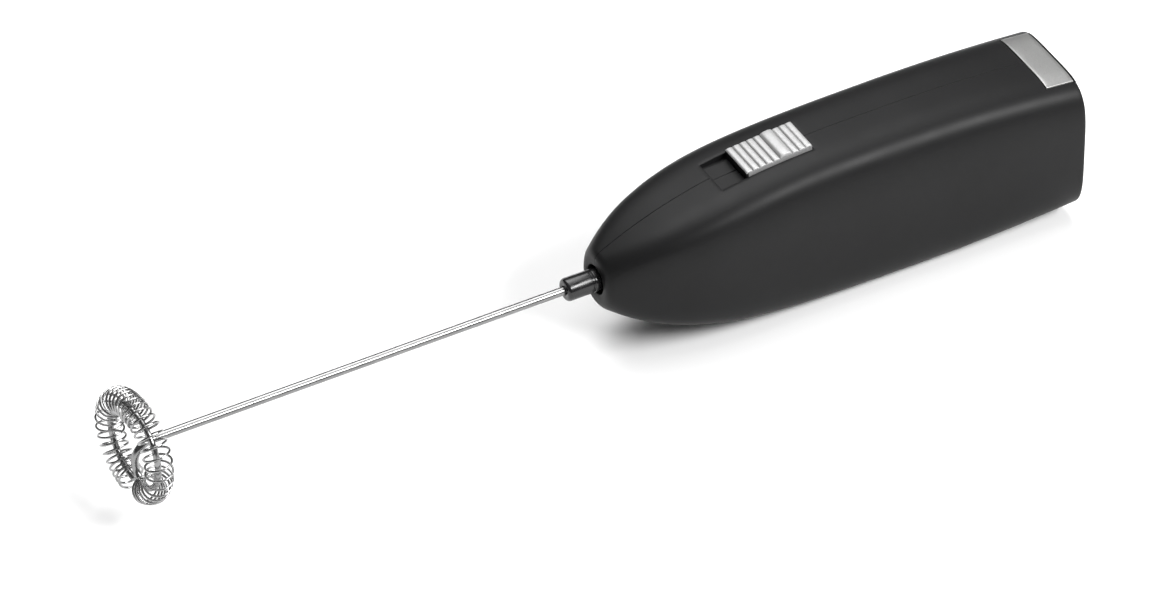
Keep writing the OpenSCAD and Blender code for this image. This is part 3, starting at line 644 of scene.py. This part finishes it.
def nose_rows():
    """Rows from the outer skin's first shared station round the nose to the inner skin."""
    rows = []
    for x in NOSE_STATIONS:
        rows.append(outer_row(x))
    for step in range(9):
        x = NOSE_ROUND * (1 - math.sin(math.pi / 2 * step / 8))
        rows.append(outer_row(x))
    rim = rows[-1]
    rings = [(0.0, 0.5), (0.0, 1.0), (NOSE_LIP * 0.3, 1.0), (NOSE_LIP, 1.0), (NOSE_WALL, 1.0)]
    widening = [NOSE_LIP, NOSE_LIP, NOSE_LIP * 0.3, 0, 0]
    radii = [NOSE_HOLE_R + more for more in widening]
    for (x, share), radius in zip(rings, radii):
        row = []
        for _, y, z in rim:
            angle = math.atan2(z, y)
            hole_y, hole_z = radius * math.cos(angle), radius * math.sin(angle)
            row.append((x, y + (hole_y - y) * share, z + (hole_z - z) * share))
        rows.append(row)
    return rows


def housing_mesh(side):
    """Closed shell of one half. side is -1 for the left half and 1 for the right."""
    xs = stations()
    outer, inner, nose = [outer_row(x) for x in xs], [inner_row(x) for x in xs], nose_rows()
    columns = len(outer[0])
    rows = outer + inner + nose
    points = [(x, side * y, z) for row in rows for x, y, z in row]
    out, inn, front = 0, len(xs) * columns, 2 * len(xs) * columns
    y_top = Y_LINES + [math.inf] * (columns - len(Y_LINES))
    y_bottom = list(reversed(y_top))

    def solid(i, j):
        """Whether the shell has material between rows i and i + 1 and columns j and j + 1."""
        if not (0 <= i < len(xs) - 1 and 0 <= j < columns - 1):
            return False
        x = (xs[i] + xs[i + 1]) / 2
        top = max(y_top[j], y_top[j + 1])
        bottom = max(y_bottom[j], y_bottom[j + 1])
        slot = SLOT_X[0] < x < SLOT_X[1] and top <= SLOT_HALF_W
        notch = x > NOTCH_X and top <= NOTCH_HALF_W
        hinge = x > HINGE_CUT_X and bottom <= HINGE_CUT_HALF_W
        return not (slot or notch or hinge)

    faces = []
    for i in range(len(xs) - 1):
        for j in range(columns - 1):
            if solid(i, j):
                for base in (out, inn):
                    a, b = base + i * columns + j, base + (i + 1) * columns + j
                    faces.append((a, a + 1, b + 1, b))
    for i in range(len(xs)):
        for j in range(columns):
            here = i * columns + j
            if i < len(xs) - 1 and solid(i, j - 1) != solid(i, j):
                faces.append((out + here, out + here + columns, inn + here + columns, inn + here))
            if j < columns - 1 and i > 0 and solid(i - 1, j) != solid(i, j):
                faces.append((out + here, out + here + 1, inn + here + 1, inn + here))
    chain = [out] + [front + k * columns for k in range(len(nose))] + [inn]
    for a, b in zip(chain, chain[1:]):
        faces += [(a + j, a + j + 1, b + j + 1, b + j) for j in range(columns - 1)]
    faces.append(tuple(chain))
    faces.append(tuple(a + columns - 1 for a in chain))
    return points, faces


SCREW_SPOTS = [(10.02, -5.7), (41.07, -12.25)]   # x and z of the screws' axes
SCREW_SINK = 3.6
RECESS_R = 2.05
BOSS_R = 2.9
BOSS_DEPTH = 1.2     # reach of a boss behind the seat of its screw
BOSS_COVER = 0.8     # how far a boss stays under the skin
RECESS_CLEAR = 3.0   # reach of the boring tool outside the skin


def solid_of(points, faces):
    """Throwaway object for a boolean."""
    mesh = bpy.data.meshes.new("tool")
    mesh.from_pydata([place(p) for p in points], [], faces)
    work = bmesh.new()
    work.from_mesh(mesh)
    bmesh.ops.recalc_face_normals(work, faces=work.faces)
    work.to_mesh(mesh)
    work.free()
    made = bpy.data.objects.new("tool", mesh)
    bpy.context.scene.collection.objects.link(made)
    return made


def carve(piece, tool, operation):
    """Applies a boolean with a throwaway object, which is then removed."""
    modifier = piece.modifiers.new("cut", "BOOLEAN")
    modifier.operation = operation
    modifier.solver = "EXACT"
    modifier.object = tool
    bpy.context.view_layer.update()
    result = bpy.data.meshes.new_from_object(piece.evaluated_get(bpy.context.evaluated_depsgraph_get()))
    piece.modifiers.remove(modifier)
    piece.data = result
    bpy.data.objects.remove(tool)


def post(x, z, y_low, y_high, radius, sides=48):
    """Closed round post along y."""
    outline = [(y_low, radius), (y_high, radius)]
    points, _ = lathe(outline, sides, (x, 0, z), "y")
    faces = [(k, (k + 1) % sides, sides + (k + 1) % sides, sides + k) for k in range(sides)]
    faces += [tuple(range(sides)), tuple(range(sides, 2 * sides))]
    return points, faces


def sink_screws(piece):
    """Adds a boss behind each screw and bores its recess from the far side."""
    for x, z in SCREW_SPOTS:
        skin = half_w(x) * (1 - (abs(z) / half_h(x)) ** exponent(x)) ** (1 / exponent(x))
        seat = half_w(x) - SCREW_SINK
        carve(piece, solid_of(*post(x, z, seat - BOSS_DEPTH, skin - BOSS_COVER, BOSS_R)), "UNION")
        carve(piece, solid_of(*post(x, z, seat, skin + RECESS_CLEAR, RECESS_R)), "DIFFERENCE")
    piece.data.set_sharp_from_angle(angle=math.radians(32))


for half_name, half_side in (("housing_left", -1), ("housing_right", 1)):
    shell_points, shell_faces = housing_mesh(half_side)
    shell = mesh_piece(half_name + "_shell", shell_points, shell_faces, "handle", [BLACK])
    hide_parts(half_name)
    if half_side > 0:
        sink_screws(shell)

# ---- Coupling sleeve and whisk ----

SLEEVE_LOW, SLEEVE_HIGH = local_box("coupling_sleeve")
SHAFT_LOW, SHAFT_HIGH = local_box("whisk_shaft")
WHISK_REACH = 102.0
RING_R = 8.9
RING_LEAN = 0.65
RING_WIRE_R = 0.65
SPRING_WIRE_R = 0.25
LOOP_R = 2.7
LOOP_OFFSET = 0.4
LOOPS = 36
CROWDING = 0.3
BEND_R = 0.45 * RING_R
FOOT_R = 0.39 * RING_R
FOOT_DROP = math.sqrt((RING_R - FOOT_R) ** 2 - FOOT_R**2)
FOOT_ANGLE = math.atan2(FOOT_R, FOOT_DROP)
RING_END = math.radians(356)
SPRING_START, SPRING_END = math.radians(19), math.radians(352)
SHAFT_R = SHAFT_HIGH.y
SLEEVE_ROUND = 0.75
SLEEVE_GROOVE = ((-1.5, 0), (-1.38, 0.02), (-1.3, 0.1), (-0.9, 0.1), (-0.82, 0.02), (-0.7, 0))
SHAFT_ROUND = 0.15


def coupling_sleeve():
    """Glossy sleeve with a rounded nose, a countersunk bore and a shallow groove in front of the handle."""
    low, high, r = SLEEVE_LOW.x, SLEEVE_HIGH.x, SLEEVE_HIGH.y
    bore, motor_bore = SHAFT_R + 0.02, 1.0
    outline = [(low + 0.35, bore), (low + 0.08, bore + 0.12), (low, bore + 0.3)]
    for along, share in rounded_end(8):
        outline.append((low + along * SLEEVE_ROUND, r - SLEEVE_ROUND + share * SLEEVE_ROUND))
    for x, drop in SLEEVE_GROOVE:
        outline.append((x, r - drop))
    outline += [(high - 0.3, r), (high - 0.1, r - 0.08), (high, r - 0.3), (high, motor_bore)]
    outline += [(SHAFT_HIGH.x + 0.2, motor_bore), (SHAFT_HIGH.x + 0.2, bore)]
    points, faces = lathe(outline, 96)
    piece = mesh_piece("coupling_sleeve_turned", points, faces, "rotor", [GLOSS_BLACK])
    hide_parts("coupling_sleeve")


def whisk_shaft():
    """Steel rod with softly broken ends."""
    low, high = SHAFT_LOW.x, SHAFT_HIGH.x
    flat_r = SHAFT_R - SHAFT_ROUND
    outline = [(low + a * SHAFT_ROUND, flat_r + s * SHAFT_ROUND) for a, s in rounded_end(4)]
    outline += [(low + (high - low) * i / 40, SHAFT_R) for i in range(1, 40)]
    outline += [(high - a * SHAFT_ROUND, flat_r + s * SHAFT_ROUND) for a, s in reversed(rounded_end(4))]
    sides = 48
    points, faces = lathe(outline, sides)
    faces = [face for face in faces if max(face) - min(face) < 2 * sides]
    faces += [tuple(range(sides)), tuple(len(points) - 1 - k for k in range(sides))]
    # The rod takes the darker copy of the wire steel, which is painted shade.
    piece = mesh_piece("whisk_shaft_rod", points, faces, "rotor", [SHADED_SHAFT_STEEL])
    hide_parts("whisk_shaft")


def ring_point(a):
    """Centre of the ring's wire at the angle a from the bottom, towards the left side."""
    return Vector((-WHISK_REACH + RING_LEAN * math.sin(a), -RING_R * math.sin(a), -RING_R * math.cos(a)))


def ring_out(a):
    return Vector((0, -math.sin(a), -math.cos(a)))


def whisk_ring():
    """The wire bends down from the shaft, swings out along the foot bend and turns once round."""
    path, refs = [Vector((SHAFT_LOW.x, 0, 0))], [Vector((0, 1, 0))]
    bend_count, foot_count, turn_count = 20, 32, 150
    for i in range(bend_count + 1):
        a = math.pi / 2 * i / bend_count
        path.append(Vector((-WHISK_REACH + BEND_R * (1 - math.sin(a)), 0, -BEND_R * (1 - math.cos(a)))))
        refs.append(Vector((0, 1, 0)))
    for i in range(1, foot_count + 1):
        share = i / foot_count
        a = (math.pi / 2 + FOOT_ANGLE) * share
        x = -WHISK_REACH + RING_LEAN * math.sin(FOOT_ANGLE) * share**2
        path.append(Vector((x, -FOOT_R * (1 - math.cos(a)), -FOOT_DROP - FOOT_R * math.sin(a))))
        refs.append(Vector((0, math.cos(a), -math.sin(a))))
    taper = len(path)
    for i in range(1, turn_count + 1):
        a = FOOT_ANGLE + (RING_END - FOOT_ANGLE) * i / turn_count
        path.append(ring_point(a))
        refs.append(ring_out(a))
    thick = SHAFT_R - 0.02
    radii = [thick + (RING_WIRE_R - thick) * min(i / taper, 1) for i in range(len(path))]
    tip = (path[-1] - path[-2]).normalized()
    for along, share in ((0.12, 0.97), (0.1, 0.85), (0.05, 0.65)):
        path.append(path[-1] + tip * along)
        refs.append(refs[-1])
        radii.append(RING_WIRE_R * share)
    points, faces = tube(path, radii, 20, lambda i: refs[i])
    piece = mesh_piece("whisk_ring_wire", points, faces, "rotor", [WIRE_STEEL], sharp=50)
    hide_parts("whisk_ring")


def spring_place(t):
    """Angle round the ring and direction out of its wire at the share t of the spring."""
    phase = 2 * math.pi * LOOPS * t
    place_share = t - CROWDING / 2 * math.sin(4 * math.pi * t) / (2 * math.pi)
    angle = SPRING_START + (SPRING_END - SPRING_START) * place_share
    return angle, math.cos(phase) * ring_out(angle) + math.sin(phase) * Vector((1, 0, 0))


def whisk_spring():
    """Fine wire wound round the ring, crowded at its top and bottom."""
    count = LOOPS * 28
    path, refs = [], []
    for i in range(count + 1):
        angle, out = spring_place(i / count)
        path.append(ring_point(angle) + LOOP_OFFSET * ring_out(angle) + LOOP_R * out)
        refs.append(out)
    points, faces = tube(path, [SPRING_WIRE_R] * len(path), 10, lambda i: refs[i])
    piece = mesh_piece("whisk_spring_wire", points, faces, "rotor", [SPRING_STEEL], sharp=50)
    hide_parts("whisk_spring")


coupling_sleeve()
whisk_shaft()
whisk_ring()
whisk_spring()

# ---- Switch button ----

RIDGE_HALF = 0.73
RIDGE_PLACES = [-6.75, -5.19, -3.63, -2.07, -0.51, 3.81, 5.33, 6.75]
HUMP_PLACE = 1.68
HUMP_HALF = 1.38
RIDGE_H = 0.48
HUMP_H = 0.88
GROOVE_W = BUTTON_RISE - RIDGE_H
END_ROUND = 0.42
FRONT_STRIP = 0.5    # length of the front end whose lower part is black
BUTTON_BOTTOM = -POCKET_DEPTH + GAP


def dome(share):
    """Height of a rounded ridge at -1 to 1 across it."""
    return (1 - min(1.0, abs(share)) ** 3) ** 0.42


def button_rows():
    """Stations (u, height over the grooves) along the button, fine across every ridge."""
    ridges = [(u, RIDGE_HALF, RIDGE_H) for u in RIDGE_PLACES] + [(HUMP_PLACE, HUMP_HALF, HUMP_H)]
    rows = []
    for middle, half, height in sorted(ridges):
        for k in range(17):
            share = -math.cos(math.pi * k / 16)
            rows.append((middle + half * share, height * dome(share)))
    half_len = BUTTON_LEN / 2 - 0.01
    return [(max(-half_len, min(half_len, u)), h) for u, h in rows]


def switch_button():
    """Ridged silver cap whose ridge ends are rounded, on a black foot that runs in the pocket."""
    half = BUTTON_W / 2
    rows = button_rows()
    ends = [(1 - along) * END_ROUND for along, _ in rounded_end(6)]
    sides = [(half - END_ROUND + e, share) for e, share in zip(ends, [s for _, s in rounded_end(6)])]
    columns = [(y, share) for y, share in sides] + [(y * 0.5, 1.0) for y in (half, 0)]
    columns += [(-y, share) for y, share in reversed(columns[:-1])]
    levels = [(BUTTON_BOTTOM + 0.1, 0.0), (BUTTON_BOTTOM, 0.1)]
    points = []
    for u, height in rows:
        for y, share in columns:
            points.append(slide_point(u, y, GROOVE_W + height * share))
    width, count = len(columns), len(rows)
    faces = grid_faces(count, width)
    rim = grid_rim(count, width)
    picks = [0] * len(faces)
    flat = [(rows[v // width][0], columns[v % width][0]) for v in rim]
    below = [rim]
    for level, inset in [(GROOVE_W - 0.02, 0.0), *levels]:
        start = len(points)
        for u, y in flat:
            u_in = max(-BUTTON_LEN / 2 + inset, min(BUTTON_LEN / 2 - inset, u))
            y_in = max(-half + inset, min(half - inset, y))
            points.append(slide_point(u_in, y_in, level))
        below.append(list(range(start, start + len(flat))))
    total = len(flat)
    for upper, lower in zip(below, below[1:]):
        for k in range(total):
            faces.append((upper[k], upper[(k + 1) % total], lower[(k + 1) % total], lower[k]))
            at_front = max(flat[k][0], flat[(k + 1) % total][0]) < FRONT_STRIP - BUTTON_LEN / 2
            picks.append(1 if at_front and lower is not below[1] else 0)
    faces.append(tuple(below[-1]))
    picks.append(1)
    stem = [(-STEM_HALF_LEN, -STEM_HALF_W), (STEM_HALF_LEN, -STEM_HALF_W)]
    stem += [(STEM_HALF_LEN, STEM_HALF_W), (-STEM_HALF_LEN, STEM_HALF_W)]
    stem_low = -(POCKET_DEPTH + FLOOR_T) - GAP / 2 - 1
    stem_mesh = prism(stem, stem_low, BUTTON_BOTTOM + 0.05, 0.15, lambda p, w: slide_point(p[0], p[1], w))
    picks += [1] * len(stem_mesh[1])
    points, faces = merged((points, faces), stem_mesh)
    materials = [SILVER_PAINT, BLACK_INSIDE]
    piece = mesh_piece("switch_button_ridged", points, faces, "switch", materials, sharp=40, picks=picks)
    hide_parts("switch_button")


switch_button()

# ---- Battery door ----


def skin_patch(x_places, y_places, top, bottom, edge):
    """Closed curved sheet over x and y. top and bottom give its heights, and edge rounds its rim."""
    def sheet(level, sign):
        rows = []
        for i, x in enumerate(x_places):
            row = []
            for j, y in enumerate(y_places):
                rim = i in (0, len(x_places) - 1) or j in (0, len(y_places) - 1)
                row.append((x, y, level(x, y) - (sign * edge if rim else 0)))
            rows.append(row)
        return rows

    upper, lower = sheet(top, 1), sheet(bottom, -1)
    width, count = len(y_places), len(x_places)
    points = [p for row in upper + lower for p in row]
    below = count * width
    faces = grid_faces(count, width) + grid_faces(count, width, start=below)
    rim = grid_rim(count, width)
    for a, b in zip(rim, rim[1:] + rim[:1]):
        faces.append((a, b, b + below, a + below))
    return points, faces


def spaced(low, high, count, edge):
    """Places from low to high, with one more close to either end for the rounded rim."""
    inner = [low + edge + (high - low - 2 * edge) * i / (count - 1) for i in range(count)]
    return [low, low + edge * 0.3, *inner, high - edge * 0.3, high]


def latch_plate():
    """Silver plate let into the door's tongue."""
    edge = 0.07
    xs = spaced(LATCH_FRONT, PLATE_REAR, 9, edge)
    ys = spaced(-LATCH_HALF_W, LATCH_HALF_W, 41, edge)

    def top(x, y):
        near = min(x - xs[0], xs[-1] - x, LATCH_HALF_W - abs(y))
        return skin_height(x, y, 0) + LATCH_LIFT - (0.01 if near < edge * 0.5 else 0)

    def bottom(x, y):
        return skin_height(x, y, 0) + LATCH_LIFT - LATCH_T

    points, faces = skin_patch(xs, ys, top, bottom, 0.03)
    piece = mesh_piece("door_latch_plate_satin", points, faces, "door", [SATIN_SILVER], sharp=35)
    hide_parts("door_latch_plate")


def door_tongue():
    """Tongue over the shell's notch, with a seat for the silver plate and a rim behind it."""
    half = LATCH_HALF_W + 0.05
    seat_end = PLATE_REAR + 0.04
    xs = spaced(LATCH_FRONT, seat_end, 8, 0.1)[:-1]
    xs += [seat_end, seat_end + 0.02, HANDLE_LEN - 0.22, HANDLE_LEN - 0.1, HANDLE_LEN]
    corner_r = 0.25

    def top(x, y):
        drop = LATCH_T if x <= seat_end else 0
        back = max(0.0, x - (HANDLE_LEN - corner_r))
        return skin_height(x, y, 0) - drop - (corner_r - math.sqrt(corner_r**2 - back**2)) * 0.8

    def bottom(x, y):
        return skin_height(x, y, 0) - TONGUE_T

    return skin_patch(xs, spaced(-half, half, 33, 0.1), top, bottom, 0.03)


def door_panel():
    """Flat panel that closes the battery bay."""
    inset = WALL + GAP
    half = half_w(HANDLE_LEN) - inset
    foot = 0.8 * half
    chamfer_z = DOOR_FOOT_Z + 3
    tongue_half = LATCH_HALF_W - 0.15
    outline = [(-foot, DOOR_FOOT_Z), (foot, DOOR_FOOT_Z), (half, chamfer_z)]
    outline += [(half, chamfer_z + 2 * i) for i in range(1, 6)]
    x = HANDLE_LEN
    corner = [skin_polar(x, math.radians(20 + 3 * i), inset) for i in range(24)]
    outline += [p for p in corner if p[0] > tongue_half + 0.2 and p[1] > outline[-1][1] + 0.5]
    outline += [(tongue_half, skin_height(x, tongue_half, inset))]
    tops = [tongue_half * (1 - i / 10) for i in range(21)]
    outline += [(y, skin_height(x, y, TONGUE_T * 0.75)) for y in tops]
    outline += [(-y, z) for y, z in reversed(outline[2:-21])]
    return prism(outline, DOOR_X, HANDLE_LEN - 0.03, 0.22, lambda p, level: (level, p[0], p[1]))


def door_knuckle():
    """Hinge arm that ends in a knuckle round the pin."""
    rear = HANDLE_LEN - 0.1
    start = math.degrees(math.acos((rear - HINGE_X) / KNUCKLE_R))
    outline = [(HINGE_X, DOOR_FOOT_Z + 0.5), (rear, DOOR_FOOT_Z + 0.5)]
    for i in range(33):
        a = math.radians(start - (start + 270) * i / 32)
        outline.append((HINGE_X + KNUCKLE_R * math.cos(a), HINGE_Z + KNUCKLE_R * math.sin(a)))
    return prism(outline, -HINGE_HALF_W, HINGE_HALF_W, 0.2, lambda p, level: (p[0], level, p[1]))


def battery_door():
    points, faces = merged(door_tongue(), door_panel(), door_knuckle())
    piece = mesh_piece("battery_door_moulded", points, faces, "door", [BLACK])
    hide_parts("battery_door")


latch_plate()
battery_door()

# ---- Materials of the CAD nodes that stay ----

CARRIED = {
    "housing_screws": STEEL,
    "battery_cradle": BLACK_INSIDE,
    "front_negative_plate": NICKEL,
    "front_negative_spring": NICKEL,
    "front_positive_contact": NICKEL,
    "door_contact_plate": NICKEL,
    "door_contact_spring": NICKEL,
    "battery_upper": CELL_METAL,
    "battery_lower": CELL_METAL,
    "motor_can": MOTOR_STEEL,
    "motor_end_bell": PALE_NYLON,
    "motor_magnets": FERRITE,
    "motor_bushings": BRONZE,
    "motor_brushes": COPPER,
    "motor_terminals": NICKEL,
    "motor_shaft": STEEL,
    "armature_core": STEEL,
    "armature_windings": COPPER,
    "commutator": COPPER,
    "switch_carrier": BLACK_INSIDE,
    "switch_clip": BLACK_INSIDE,
    "switch_leaf": NICKEL,
    "switch_terminal_front": NICKEL,
    "switch_terminal_rear": NICKEL,
    "wire_negative": BLACK_PVC,
    "wire_positive": RED_PVC,
    "wire_motor": RED_PVC,
    "door_hinge_pin": STEEL,
}

FILM_BLUE = (0.03, 0.1, 0.22)
FILM_GOLD = (0.55, 0.42, 0.14)


def paint(node_name, material):
    """Gives a CAD node's mesh one material throughout."""
    materials = frame["nodes"][node_name].data.materials
    for index in range(len(materials)):
        materials[index] = material


for carried_name, carried_material in CARRIED.items():
    paint(carried_name, carried_material)
film_low, film_high = node_box("battery_jackets")
paint("battery_jackets", printed_film("cell_film", FILM_BLUE, FILM_GOLD, film_low.x, film_high.x))
